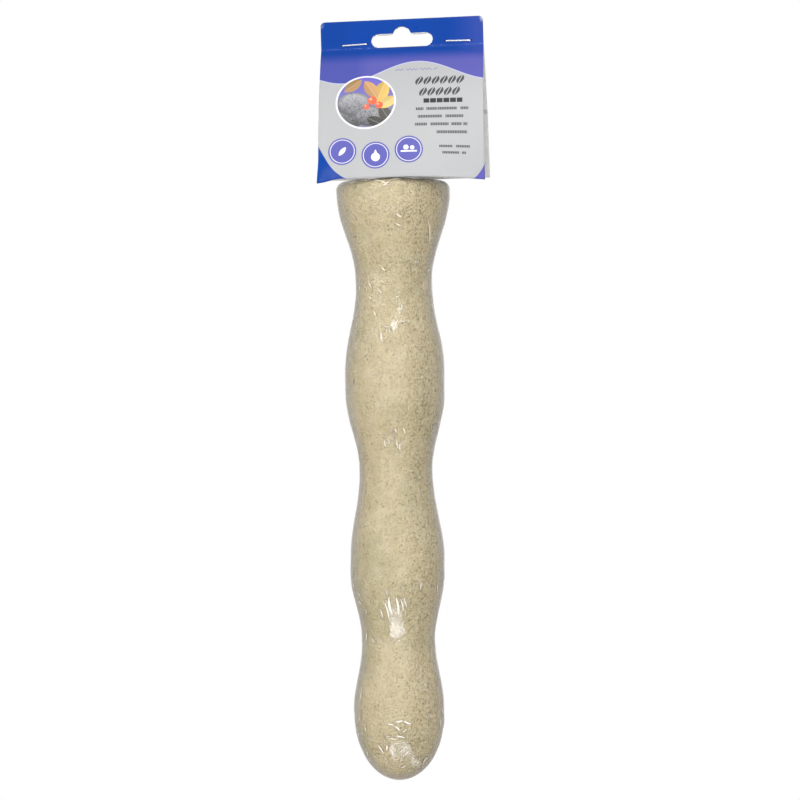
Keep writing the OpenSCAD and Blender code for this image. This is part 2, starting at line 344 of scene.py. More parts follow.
cement = {
    "around": 240,
    "step": 0.80 * mm,
    "grainHeight": 0.085 * mm,
    "grainClip": 1.5,
    "grainFade": 3 * mm,
    # From the rim inwards: the face, the seat of the inner washer, the core's bore
    "inside": [(15.3, 0), (15.3, -1.6), (9.05, -1.6), (9.05, -274.05), (0.5, -274.05)],
    "insideBevel": 0.25,
    # Pits: degrees right of the front, height, half width, half height, depth
    "pits": [
        (-57, -99.8, 0.8, 1.7, 0.7), (69, -190.4, 0.7, 0.8, 0.5), (24, -251, 0.6, 0.5, 0.4),
        (151, -140, 0.9, 1.2, 0.6), (-128, -222, 0.8, 0.7, 0.5),
    ],
    # Where a pit ends, in its half widths, and the depth at which it is darkest
    "pitEdge": 1.25,
    "pitDepth": 0.5,
    "seed": 5,
    "sand": colour(0.79, 0.665, 0.41),
    "pale": colour(0.93, 0.83, 0.59),
    "green": colour(0.60, 0.535, 0.31),
    "brown": colour(0.36, 0.275, 0.15),
    "dark": colour(0.16, 0.12, 0.065),
    "pitDark": colour(0.10, 0.075, 0.04),
}


# The outline turned round the axis, its lift the sum of lumps and sand grains less the pits
def makeCasting():
    radius, height, outR, outZ = perchOutline(cement["step"])
    angle = roundOf(cement["around"])
    tall, wide = height[:, None], radius[:, None]
    grain = np.random.default_rng(cement["seed"]).normal(size=(len(height), cement["around"]))
    for axis in (0, 1):
        grain = grain + np.roll(grain, 1, axis) + np.roll(grain, -1, axis)
    grain /= grain.std()
    grain = np.clip(grain, -cement["grainClip"], cement["grainClip"])
    fade = ease((tall + perch["length"]) / cement["grainFade"]) * ease(-tall / cement["grainFade"])
    pit = strongest(cement["pits"], angle, tall, wide, 0, cement["pitEdge"])
    lift = lumps(angle, tall) + cement["grainHeight"] * grain * fade - pit * mm
    rings = ringsRound(radius, height, angle, outR, outZ, lift)
    # The first and the last corner only give the others their bevels, and are left out
    corners = [(perch["faceRadius"] / mm, 0)] + cement["inside"]
    inner = bevelled(corners, cement["insideBevel"])[3:-3] * mm
    rings = np.concatenate([rings, ringsRound(*inner.T, angle)])
    made = closedTube("cement_casting", rings, (0, 0, -perch["length"]), (0, 0, cement["inside"][-1][1] * mm))
    unpitted = np.zeros(len(inner) * cement["around"] + 2)
    giveAttribute(made, "pit", np.concatenate([(pit / cement["pitDepth"]).ravel(), unpitted]))
    return made


def cementMaterial():
    material, start, place = newMaterial("sandy_cement")
    blotch = place.noise(38, 3).between(0.40, 0.70)
    cloudy = place.noise(140, 3).between(0.40, 0.68)
    base = (blotch * 0.6).blend(cement["sand"], cement["green"])
    base = (cloudy * 0.40).blend(base, cement["pale"])
    # Sand: brown between the grains, partly sand colour and partly painted shade in the hollows of the bump,
    # pale on them, and a few dark grains
    coarse = place.noise(860, 2, 0.6)
    fine = place.noise(1900, 3, 0.6)
    cell = place.add("ShaderNodeTexVoronoi", None, {"Vector": place, "Scale": 1250.0}, out=1)
    shade = cell.add("ShaderNodeSeparateColor", None, {0: cell})
    darkGrain = (1 - shade.between(0.015, 0.06)) * place.noise(170).between(0.44, 0.66)
    # Painted shade: the grain's brown and pale are stronger along the right side, with a ragged limit,
    # standing in for light raking across the grain there
    rough = (place.part("X") + place.noise(90, 2) * 14 * mm).between(9 * mm, 17 * mm)
    base = ((1 - coarse.between(0.32, 0.48)) * (0.28 + rough * 0.46)).blend(base, cement["brown"])
    base = (coarse.between(0.52, 0.66) * (0.24 + rough * 0.34)).blend(base, cement["pale"])
    base = ((1 - fine.between(0.30, 0.55)) * (0.16 + rough * 0.22)).blend(base, cement["brown"])
    base = (darkGrain * 0.6).blend(base, cement["dark"])
    # Pits are painted darker the deeper they are
    base = (place.attribute("pit").between(0.25, 0.9) * 0.85).blend(base, cement["pitDark"])
    relief = coarse + place.noise(300) * 0.25 - darkGrain * 0.1
    return finished(material, start.principled({
        "Base Color": base, "Roughness": 0.92, "Specular IOR Level": 0.25, "Normal": relief.bump(3.2 * mm, 1.0),
    }))


casting = dress(makeCasting(), cementMaterial(), ["perch_casting"])
print("casting made:", len(casting.data.polygons), "faces")


# Film shrunk on the casting

film = {
    "around": 240,
    "step": 1.9 * mm,
    "outerLift": 0.40 * mm,
    "innerLift": 0.20 * mm,
    "lipRadius": 24.55 * mm,
    "milk": colour(0.46, 0.445, 0.445),
    "cream": colour(0.89, 0.83, 0.71),
    "straw": colour(0.78, 0.68, 0.49),
    # Slack places: degrees right of the front, height, half width, half height in millimetres, strength
    "slack": [
        (-2, -70.7, 3, 5, 1.0), (-4, -126, 4, 7, 1.0), (0, -219, 7, 11, 1.0), (-26, -50.6, 3, 3, 0.8),
        (14, -200, 3, 4, 0.7), (40, -255, 6, 5, 0.7),
    ],
    # Milky places, partly the film's own haze and partly painted highlight, in the same terms
    "hazeAndHighlight": [
        (0, -72.4, 2.2, 3, 0.50), (-8, -73.4, 2.8, 1.1, 0.45), (10, -70.2, 1.8, 0.9, 0.42),
        (7.5, -64.7, 1.3, 2.8, 0.42), (8, -60.2, 1.2, 1.4, 0.35), (-4, -223.4, 3.4, 5.2, 0.52),
        (4, -223.4, 3, 4, 0.46), (-4, -216, 4.6, 6, 0.40), (-12, -210.5, 4.6, 4.6, 0.32),
        (5, -210, 3.6, 4.2, 0.32), (2, -284.6, 7.4, 6.2, 0.32), (-10, -282.8, 2.2, 3.6, 0.48),
        (9, -282.4, 3.6, 3.4, 0.42), (20, -287, 3, 3, 0.34), (28, -290, 3.4, 3, 0.36),
        (1, -278.6, 4.4, 1.6, 0.36), (-42, -256.5, 1.4, 5, 0.26), (-3, -126.5, 3.4, 5.5, 0.22),
        (-12, -131, 1.4, 3, 0.27), (6, -131.6, 1.6, 3, 0.3), (11, -124.6, 1.4, 2.2, 0.3), (140, -74, 3, 4, 0.40),
        (-110, -66, 2.6, 5, 0.34), (96, -128, 2.4, 4, 0.30), (-150, -210, 3, 5.5, 0.42),
        (100, -219, 3.4, 4, 0.36), (-100, -279, 5, 4, 0.27), (160, -281, 6, 5, 0.32), (84, -284, 3.4, 3.6, 0.3),
    ],
    # Where a spot stops being full, and the width of its edge
    "slackEdge": (0.4, 1.0),
    "hazeAndHighlightEdge": (0.5, 0.9),
    "tipSlack": 0.8,
}


# An outer and an inner wall at even lifts from the casting, joined at the lip on the rim
def makeSkin():
    radius, height, outR, outZ = perchOutline(film["step"])
    keep = (radius > film["lipRadius"]) | (height < -perch["rimRound"])
    radius, height, outR, outZ = radius[keep], height[keep], outR[keep], outZ[keep]
    angle = roundOf(film["around"])
    tall, wide = height[:, None], radius[:, None]
    bumps, lifts = lumps(angle, tall), (film["outerLift"], film["innerLift"])
    outer, inner = (ringsRound(radius, height, angle, outR, outZ, bumps + lift) for lift in lifts)
    tips = [(0, 0, -perch["length"] - lift) for lift in lifts]
    made = closedTube("film_skin", np.concatenate([outer, inner[::-1]]), *tips)
    slack = strongest(film["slack"], angle, tall, wide, *film["slackEdge"])
    hazeAndHighlight = strongest(film["hazeAndHighlight"], angle, tall, wide, *film["hazeAndHighlightEdge"])
    for name, values, atTip in ("slack", slack, film["tipSlack"]), ("crease", hazeAndHighlight, 0):
        giveAttribute(made, name, np.concatenate([values.ravel(), values[::-1].ravel(), [atTip, atTip]]))
    return made


def filmMaterial():
    material, start, place = newMaterial("clear_shrink_film")
    slack = place.attribute("slack")
    fine = place.placed(scale=(1, 1, 0.16)).noise(420, 2)
    broad = place.placed(scale=(1, 1, 0.4), turn=(0.3, 0.4, 0)).noise(260, 1)
    stripes = fine * 0.8 + broad * 0.6
    height = stripes * slack + place.noise(900, 2) * (0.16 - 0.12 * slack)
    normal = height.bump(0.9 * mm, 0.7)
    facing = start.add("ShaderNodeLayerWeight", None, {"Blend": 0.5, "Normal": normal}, out=1)
    mirror = 0.03 + (facing ** 3.0) * 0.30 + facing.between(0.40, 0.56) * 0.15
    # White is ragged at its outline; the attribute is below 0 where the card keeps all gloss away
    given = place.attribute("crease")
    ragged = (given * 1.7 - place.noise(800, 2) * 0.75).between(-0.05, 0.65)
    white = ragged * (0.35 + given * 0.75) + given.atMost(0)
    raised = white.between(0, 0.1)
    # Flat film is a dim mirror, a crease or a milky place is pale and matt, and a strong crease is yellower
    # above the dome. The pale is partly the film's own whitening and partly painted highlight for the lamps'
    # glints.
    strong = given.between(0.45, 0.65) * place.part("Z").between(-0.20, -0.14)
    pale = strong.blend(film["cream"], film["straw"])
    shine = start.principled({
        "Base Color": raised.blend(film["milk"], pale), "Metallic": 1 - raised * 0.9,
        "Roughness": 0.42 - slack * 0.32 + raised * 0.1, "Normal": normal,
    })
    clear = start.add("ShaderNodeBsdfTransparent", None, {"Color": (1, 1, 1, 1)})
    cover = mirror + (stripes.between(0.80, 0.98) * slack * 0.25 + white)
    return finished(material, cover.atMost(0.95).mixShader(clear, shine))


clearFilm = filmMaterial()
skin = dress(makeSkin(), clearFilm, ["film_wrap"])
print("film skin made:", len(skin.data.polygons), "faces")


# Creases that stand up from the film, in millimetres seen from the front: middle across and height,
# half length and half width, degrees that the top leans to the right, share of white, which is partly painted
# highlight
crease = {
    "front": [
        (-4.4, -2, 2.6, 0.5, -70, 0.8), (-2.6, -2.7, 2, 0.6, 60, 0.7), (-3.9, -3.6, 1.5, 0.6, 88, 0.6),
        (-19.7, -1.4, 3.6, 0.4, 84, 0.7), (-13, -0.8, 3.3, 0.4, 86, 0.8), (-6.6, -1.2, 3.4, 0.4, -79, 0.8),
        (1.5, -1.1, 4, 0.45, 79, 0.8), (21, -1.2, 2.2, 0.5, 35, 0.4), (23, -2.2, 2, 0.5, -30, 0.4),
        (3.1, -18.3, 2.2, 0.75, -54, 0.8), (2.3, -23, 2.2, 0.45, -63, 0.85), (2.5, -25.2, 1, 0.4, -71, 0.7),
        (-3.5, -13.1, 0.8, 0.4, 10, 0.6), (-4.8, -14.6, 0.8, 0.4, -20, 0.6), (17.3, -25.8, 8.2, 0.42, -22, 0.95),
        (-5.2, -44.1, 1.9, 0.6, -43, 0.8), (-11.8, -52.1, 2.4, 0.45, -27, 0.85), (-14, -53.8, 2.2, 0.4, -28, 0.8),
        (-5.2, -50.7, 1.9, 0.4, -48, 0.75), (-7.5, -55.3, 3, 0.4, -36, 0.85),
        (-11.7, -58.6, 1.2, 0.45, -30, 0.75), (-10, -66.3, 2.1, 0.55, -29, 0.85), (1.6, -58.4, 1.3, 0.5, 82, 0.8),
        (1.1, -60.6, 0.9, 0.5, -45, 0.7), (3.5, -63.4, 2.4, 0.5, 5, 0.6), (1.2, -71.3, 2.6, 0.5, 24, 0.6),
        (-4, -72.8, 2.6, 0.45, -76, 0.65), (4.1, -70.3, 1.8, 0.5, -78, 0.6), (-4.1, -75.3, 1.7, 0.3, -12, 0.7),
        (-2.2, -75.5, 1.8, 0.3, -3, 0.7), (-0.4, -75.8, 1.8, 0.35, 4, 0.6), (-6.2, -78.1, 3.3, 0.8, -8, 0.65),
        (11.1, -40.8, 1.4, 0.4, -22, 0.5), (6.7, -113.1, 1.3, 0.4, -5, 0.7), (-0.2, -124.5, 1.9, 0.45, -15, 0.8),
        (4, -124.5, 2.5, 0.5, -23, 0.75), (-3.5, -129.9, 2, 0.4, -15, 0.8), (-5.8, -130.9, 2.7, 0.4, -4, 0.7),
        (1, -131.2, 3.4, 0.5, -8, 0.6), (2.2, -132.3, 3, 0.5, 4, 0.6), (11.7, -201.5, 2.8, 0.45, 1, 0.6),
        (-14.1, -208.4, 1, 0.45, -18, 0.6), (6.4, -211.4, 3.4, 0.3, -6, 0.5), (-8.3, -215, 3.4, 0.45, -10, 0.8),
        (-5.8, -213.4, 5.2, 0.5, -9, 0.8), (-3.4, -211.2, 6, 0.85, -8, 0.85), (-0.6, -211.4, 6, 0.7, -7, 0.85),
        (1.8, -210.8, 4.4, 0.45, -14, 0.75), (4.2, -209.5, 3.8, 0.3, -16, 0.7),
        (-5.6, -204.4, 2.2, 0.35, 12, 0.6), (2.6, -202.6, 2.6, 0.3, -8, 0.55), (6.9, -202.6, 2.6, 0.3, 4, 0.5),
        (2.6, -221, 3, 0.4, 16, 0.6), (-3.6, -226, 2.2, 0.4, -24, 0.6), (0.2, -229, 1.6, 0.4, 80, 0.6),
        (3, -263.3, 1.7, 0.3, -53, 0.5), (0, -268.1, 2.4, 0.6, 77, 0.8), (4.2, -268.8, 2.7, 0.55, -63, 0.85),
        (-4.3, -269.9, 1.9, 0.45, -79, 0.8), (-1.2, -271.7, 2.3, 0.45, -47, 0.85),
        (-3.2, -277.2, 2.6, 0.4, -73, 0.75), (0.6, -276.2, 2.8, 0.45, -76, 0.85),
        (-1.4, -279.6, 2.2, 0.35, 84, 0.6), (-9.4, -282.6, 3.6, 0.5, -25, 0.85),
        (-6.5, -281.4, 2.2, 0.5, 10, 0.8), (-3.8, -284.1, 2.4, 0.7, -6, 0.75),
        (-18.4, -274.9, 1.8, 0.3, -16, 0.5),
        # Fine lines side by side across the crumpled end
        (-0.2, -281.3, 2.2, 0.09, 43, 0.8), (0.4, -281.9, 3, 0.09, 45, 0.85), (1, -282.5, 3.7, 0.09, 44, 0.9),
        (1.7, -283.1, 4, 0.09, 46, 0.9), (2.3, -283.7, 3.9, 0.09, 47, 0.9), (2.9, -284.3, 3.5, 0.09, 45, 0.85),
        (3.5, -284.9, 3, 0.09, 48, 0.8), (4.1, -285.5, 2.4, 0.09, 46, 0.75), (6.2, -287.6, 1.8, 0.09, 50, 0.7),
        (6.9, -288.2, 2.4, 0.09, 54, 0.75), (7.6, -288.8, 2.7, 0.09, 52, 0.8), (8.4, -289.5, 2.5, 0.09, 56, 0.75),
        (9.1, -290.1, 2.2, 0.09, 50, 0.7), (9.8, -290.7, 1.8, 0.09, 47, 0.65), (0.6, -287.9, 1.6, 0.09, 44, 0.7),
        (10.6, -287, 1.6, 0.15, 40, 0.65), (1.7, -291.3, 2, 0.5, 49, 0.7), (8.6, -290.9, 1.8, 0.2, -82, 0.6),
        (4.6, -293.5, 1.6, 0.3, 30, 0.5), (-5.6, -276, 2, 0.3, 66, 0.6), (-7.4, -278.7, 1.8, 0.3, 30, 0.6),
        (-7, -287.1, 1.6, 0.3, -40, 0.6), (-12, -286.4, 0.9, 0.4, 0, 0.6), (-18.6, -257, 4.6, 0.5, 10, 0.5),
        (2.5, -273.3, 2.2, 0.35, 50, 0.6), (20.6, -283.2, 2, 0.3, 30, 0.4),
    ],
    # Bands round the rest of the perch: height and half height, number
    "bands": [
        (-20, 10, 16), (-58, 16, 40), (-128, 12, 22), (-205, 14, 34), (-222, 8, 14), (-276, 14, 40),
        (-289, 4, 12),
    ],
    # Those in the bands: least angle from the front, half lengths and widths, spread of leans, whites
    "offFront": 0.75,
    "halfLong": (1.0, 3.6),
    "halfWide": (0.3, 0.65),
    "leans": 38,
    "whites": (0.35, 0.8),
    # Points of each along and across it
    "points": (7, 5),
    "step": 0.8 * mm,
    # Added to the half widths of those in front, whose white ends short of their rims
    "margin": 0.12 * mm,
    "rise": 0.17 * mm,
    "root": -2.0 * mm,
    "seed": 8,
}


# Blisters laid along the film by distance up its profile and round it, their rims between its two walls and
# their undersides inside the cement: the lift is a half circle along each and flat-topped across it
def makeCreases():
    radius, height, outR, outZ = perchOutline(crease["step"])
    path = np.concatenate([[0], np.cumsum(np.hypot(np.diff(radius), np.diff(height)))])
    draw = np.random.default_rng(crease["seed"])
    front = np.array(crease["front"])
    front[:, :4] *= mm
    front[:, 3] += crease["margin"]
    frontR = np.interp(front[:, 1], height, radius) + film["outerLift"]
    middle = np.arcsin(np.clip(front[:, 0] / frontR, -0.98, 0.98))
    sets = [np.column_stack([middle, front[:, 1:]])]
    for level, spread, count in crease["bands"]:
        # Round the back and the sides, and not among those in front
        sets.append(np.column_stack([
            draw.uniform(crease["offFront"], 2 * math.pi - crease["offFront"], count),
            (level + spread * draw.uniform(-1, 1, count)) * mm,
            draw.uniform(*crease["halfLong"], count) * mm, draw.uniform(*crease["halfWide"], count) * mm,
            draw.normal(0, crease["leans"], count), draw.uniform(*crease["whites"], count),
        ]))
    middle, level, halfLong, halfWide, lean, white = (column[:, None, None] for column in np.concatenate(sets).T)
    rows, columns = crease["points"]
    along, across = np.linspace(-1, 1, rows)[None, :, None], np.linspace(-1, 1, columns)[None, None, :]
    taper = 0.14 + 0.86 * (1 - along ** 2)
    lean = np.radians(lean)
    # A slight curve keeps the longer ones from being straight
    sway = halfWide * across * taper + 0.12 * halfLong * (1 - along ** 2) * np.sign(np.sin(level / mm * 7))
    sideways = halfLong * along * np.sin(lean) + sway * np.cos(lean)
    upward = halfLong * along * np.cos(lean) - sway * np.sin(lean)
    at = np.clip(np.interp(level, height, path) + upward, path[0] + 1.5 * mm, path[-1] - 0.3 * mm)
    ringR, ringZ, pushR, pushZ = (np.interp(at, path, values) for values in (radius, height, outR, outZ))
    angle = middle - math.pi / 2 + sideways / np.maximum(ringR, 3 * mm)
    crest = (1 - along ** 2) ** 0.5 * (1 - across ** 4) + 0 * at

    def shell(lift):
        lift = lift + lumps(angle, ringZ)
        return roundAxis(ringR + pushR * lift, angle, ringZ + pushZ * lift)

    base = film["outerLift"] - 0.03 * mm
    top, under = shell(base + crease["rise"] * crest), shell(crease["root"] + 0 * crest)[:, 1:-1, 1:-1]
    count, above, below = len(top), rows * columns, (rows - 2) * (columns - 2)
    points = np.concatenate([top.reshape(count, above, 3), under.reshape(count, below, 3)], 1)
    # The underside shares the top's outline and has its own inner points
    numbers = np.arange(above).reshape(rows, columns)
    numbers[1:-1, 1:-1] = above + np.arange(below).reshape(rows - 2, columns - 2)
    upper = gridFaces(rows, columns, False)
    blister = np.concatenate([upper, numbers.ravel()[upper][:, ::-1]])
    faces = blister[None] + (above + below) * np.arange(count)[:, None, None]
    made = makeObject("film_creases", points.reshape(-1, 3), faces.ravel(), [4] * (count * len(blister)))
    # The undersides are flat-shaded, so that they don't turn the tops' shading at the rims
    made.data.polygons.foreach_set("use_smooth", np.tile(np.repeat([True, False], len(upper)), count))
    shown = (crest * white).reshape(count, above)
    giveAttribute(made, "crease", np.concatenate([shown, np.zeros((count, below))], 1))
    return made


creasesMade = dress(makeCreases(), clearFilm, ["film_wrap"])
print("film creases made:", len(creasesMade.data.polygons), "faces")


# Header card, in millimetres about the middle of its fold

card = {
    "width": 82.0,
    "fall": 87.2,
    "thick": 0.5,
    "band": 14.3,
    "flare": 28.0,
    "bow": 4.0,
    "corner": 2.5,
    "clear": 0.6,
    "shift": 5.4,
    "turn": 5.5,
    "tilt": 1.0,
    "boardGap": 0.45,
    "slot": (31.0, 6.8),
    "lobe": (4.8, 3.9, 3.4),
    # The lower left corner of the front: drop, inward, outward to the left, reach
    "curl": (1.6, 3.0, 1.2, 13.0),
    # From here to the right edge the halves close, by the way across to the power 1.5
    "closeFrom": 2.0,
    # How far the front's foot hangs and its right end closes, and the back is short and its right end closes
    "frontDrop": (0.1, 2.4),
    "frontClose": 7.5,
    "backShort": (3.1, -1.1),
    "backClose": 8.0,
    # Points up the arc, the band and the fold, and across; a point nearer to the slot moves on to its edge
    "arcPoints": 62,
    "bandPoints": 29,
    "foldPoints": 7,
    "columns": 165,
    "snap": 0.27,
}
foldRadius = card["boardGap"] + card["thick"]
panelTop = np.array([foldRadius - card["thick"] / 2, -card["band"]])
panelFall = math.sqrt((card["fall"] - card["band"]) ** 2 - card["flare"] ** 2)
panelFoot = np.array([card["flare"], -card["band"] - panelFall])
foldHeight = card["clear"] - panelFoot[1]
slotBottom = card["lobe"][1] + card["lobe"][2] + card["slot"][1]


# From the card's own millimetres to the perch's frame: tilted, turned and moved up
def fromCard(points):
    tilt, turn = math.radians(card["tilt"]), math.radians(card["turn"])
    across = points[..., 0] * math.cos(tilt) - points[..., 2] * math.sin(tilt)
    up = points[..., 0] * math.sin(tilt) + points[..., 2] * math.cos(tilt)
    return np.stack([
        card["shift"] + across * math.cos(turn) + points[..., 1] * math.sin(turn),
        points[..., 1] * math.cos(turn) - across * math.sin(turn),
        foldHeight + up,
    ], -1) * mm


# Half of the card's outside in section, from foot to fold: a circle's arc, the band, a quarter circle
def cardHalf():
    chord = panelFoot - panelTop
    span = np.linalg.norm(chord)
    outward = np.array([-chord[1], chord[0]]) / span
    bowRadius = ((span / 2) ** 2 + card["bow"] ** 2) / (2 * card["bow"])
    centre = (panelTop + panelFoot) / 2 - outward * (bowRadius - card["bow"])
    ends = [math.atan2(*(end - centre)[::-1]) for end in (panelFoot, panelTop)]
    sweep = np.linspace(ends[0], ends[1], card["arcPoints"])[:-1]
    arc = centre + (bowRadius + card["thick"] / 2) * np.stack([np.cos(sweep), np.sin(sweep)], -1)
    band = np.linspace(-card["band"] + 0.2, -foldRadius, card["bandPoints"])
    straight = np.stack([0 * band + foldRadius, band], -1)
    bend = np.radians(np.linspace(0, 90, card["foldPoints"]))[1:]
    fold = np.stack([foldRadius * np.cos(bend), -foldRadius + foldRadius * np.sin(bend)], -1)
    return np.concatenate([arc, straight, fold])


cardOutline = cardHalf()
lengthUp = np.concatenate([[0], np.cumsum(np.linalg.norm(np.diff(cardOutline, axis=0), axis=1))])
creaseAt, foldAt = lengthUp[card["arcPoints"] - 1], lengthUp[-1]


# Distance to the edge of the hanging slot, a pill with a round lobe above it, below 0 inside
def slotDistance(across, up):
    halfWide, halfTall = card["slot"][0] / 2, card["slot"][1] / 2
    along = np.maximum(np.abs(across) - (halfWide - halfTall), 0)
    pill = np.hypot(along, up + slotBottom - halfTall) - halfTall
    radius, drop = card["lobe"][:2]
    return np.minimum(pill, np.hypot(across, up + drop + radius) - radius)


# The card's outside as one sheet over its section, with the slot left out, then given its thickness
def makeCard():
    section = np.concatenate([cardOutline * [-1, 1], cardOutline[:-1][::-1]])
    along = np.concatenate([lengthUp, 2 * foldAt - lengthUp[:-1][::-1]])
    up = section[:, 1][:, None]
    half, corner = card["width"] / 2, card["corner"]
    rounded = np.sqrt(np.maximum(corner ** 2 - np.maximum(up + corner, 0) ** 2, 0)) - corner
    wide = np.linspace(-1, 1, card["columns"])[None, :] * (half + rounded)
    nearest = slotDistance(wide, up)
    step = 0.01
    slopeX = (slotDistance(wide + step, up) - slotDistance(wide - step, up)) / (2 * step)
    slopeZ = (slotDistance(wide, up + step) - slotDistance(wide, up - step)) / (2 * step)
    banded = (np.abs(section[:, 0]) > foldRadius * 0.999)[:, None] & (up > -card["band"] - 0.3)
    snap = np.where((np.abs(nearest) < card["snap"]) & banded, nearest, 0)
    high = up - snap * slopeZ
    deep = section[:, 0][:, None] + 0 * wide
    wide = wide - snap * slopeX
    # Below the crease both halves hang unevenly, more with the square of the way down
    front, way = deep < 0, np.clip((-card["band"] - up) / panelFall, 0, 1) ** 2
    right = np.clip((wide - card["closeFrom"]) / (half - card["closeFrom"]), 0, None) ** 1.5 * way
    evenly, more = card["frontDrop"]
    short, less = card["backShort"]
    drop = np.where(front, evenly * way + more * right, -way * (short + less * wide / half))
    close = np.where(front, card["frontClose"], -card["backClose"]) * right
    # The lower left corner of the front hangs down and curls in
    down, inward, outward, reach = card["curl"]
    curl = (1 - ease(np.hypot(wide + half, high - panelFoot[1]) / reach)) ** 1.5 * front
    wide, deep, flatWide = wide - outward * curl, deep + close + inward * curl, wide
    points = fromCard(np.stack([wide, deep, high - drop - down * curl], -1))
    rows, columns = wide.shape
    quads = gridFaces(rows, columns, False)
    middle = np.where(snap != 0, 0, nearest).ravel()[quads].mean(1)
    inBand = banded.ravel()[quads // columns].all(1)
    quads = quads[~((middle < -0.02) & inBand)]
    used, order = np.unique(quads, return_inverse=True)
    made = makeObject("printed_header_card", points.reshape(-1, 3)[used], order.ravel(), [4] * len(quads))
    layer = made.data.uv_layers.new(name="print")
    flat = np.stack([flatWide, along[:, None] + 0 * wide], -1).reshape(-1, 2)[used][order.ravel()]
    layer.data.foreach_set("uv", flat.astype(np.float32).ravel())
    thick = made.modifiers.new("thick", "SOLIDIFY")
    thick.thickness = card["thick"] * mm
    thick.offset = -1
    thick.material_offset = 1
    thick.material_offset_rim = 1
    return made


staple = {
    "crown": 12.7,
    "wide": 0.7,
    "thin": 0.5,
    "fold": 4.8,
    "gap": 0.06,
    "drop": -12.2,
    "corner": 0.45,
    "cornerPoints": 8,
    # Points round the wire, and the power that squares its section
    "around": 16,
    "square": 0.55,
    # Across the card's middle, and slope in degrees
    "places": {"staple_left": (-24.0, 1.6), "staple_right": (28.3, -1.2)},
}

# The print, placed by millimetres across the card and along it from the front's lower edge
printing = {
    "blue": colour(0.0, 0.048, 0.31),
    "deep": colour(0.0, 0.041, 0.27),
    "lilac": colour(0.10, 0.10, 0.385),
    "grey": colour(0.425, 0.432, 0.436),
    "ink": colour(0.055, 0.055, 0.06),
    "black": colour(0.015, 0.015, 0.018),
    "white": colour(0.80, 0.80, 0.82),
    "picture": (-17.5, 40.5, 14.2),
    # Leaves of the picture: middle across and along, length, lean in radians, colour
    "leaves": [
        (-24.0, 50.0, 11.0, 0.9, (0.42, 0.25, 0.10)), (-7.5, 33.0, 12.0, -0.5, (0.09, 0.08, 0.07)),
        (-12.0, 29.0, 11.0, -1.1, (0.05, 0.05, 0.045)), (-10.0, 45.5, 15.0, 0.35, (0.72, 0.47, 0.12)),
        (-15.0, 47.5, 12.0, -0.55, (0.60, 0.33, 0.13)), (-6.5, 40.0, 11.0, 1.0, (0.78, 0.56, 0.20)),
    ],
    # Pebbles: middle across and along, half length, half height, darkest and palest grey
    "pebbles": [
        (-26.5, 31.0, 8.0, 5.5, 0.05, 0.22), (-23.5, 39.5, 8.5, 6.5, 0.12, 0.42),
        (-15.5, 32.5, 7.5, 5.5, 0.08, 0.32),
    ],
    "berries": [(-14.2, 41.0, 2.3), (-10.8, 38.4, 1.9), (-17.0, 37.6, 1.5)],
    # Plain discs with an icon each: across, along, radius
    "discs": [(-29.0, 14.0, 7.0), (-12.5, 11.5, 7.0), (4.0, 14.0, 7.0)],
    # Borders of leaning leaves in place of large letters: left end, number of leaves, pitch, along, half height
    "borders": [(7.0, 6, 4.1, 51.6, 2.7), (9.0, 5, 4.1, 45.0, 2.7)],
    # Dashes in place of small letters: left end, right end, along, half height
    "dashes": [
        (7.5, 33.5, 35.4, 0.75), (8.5, 31.0, 31.2, 0.75), (7.0, 33.0, 27.0, 0.75), (17.2, 33.0, 22.8, 0.75),
        (19.0, 34.0, 15.5, 0.6), (20.5, 32.0, 12.3, 0.6),
    ],
    # A bold dash and a scribbled line: left end, right end, along
    "bold": (11.3, 30.6, 39.9),
    "scribble": (-3.0, 18.0, 58.6),
    # The light field: the wave over it, and where each lower corner starts and how it bends
    "wave": (57, 0.085, 0.9, 6),
    "corners": ((-24, 0.062), (33, 0.125)),
    # The back's panel: middle, half width, half height, corner; its dashes: along from its foot, half length
    "backPanel": (0.0, 36.0, 30.0, 22.0, 3),
    "backDashes": [(50, 24), (46, 21), (42, 24), (38, 17), (30, 24), (26, 22), (22, 12)],
}


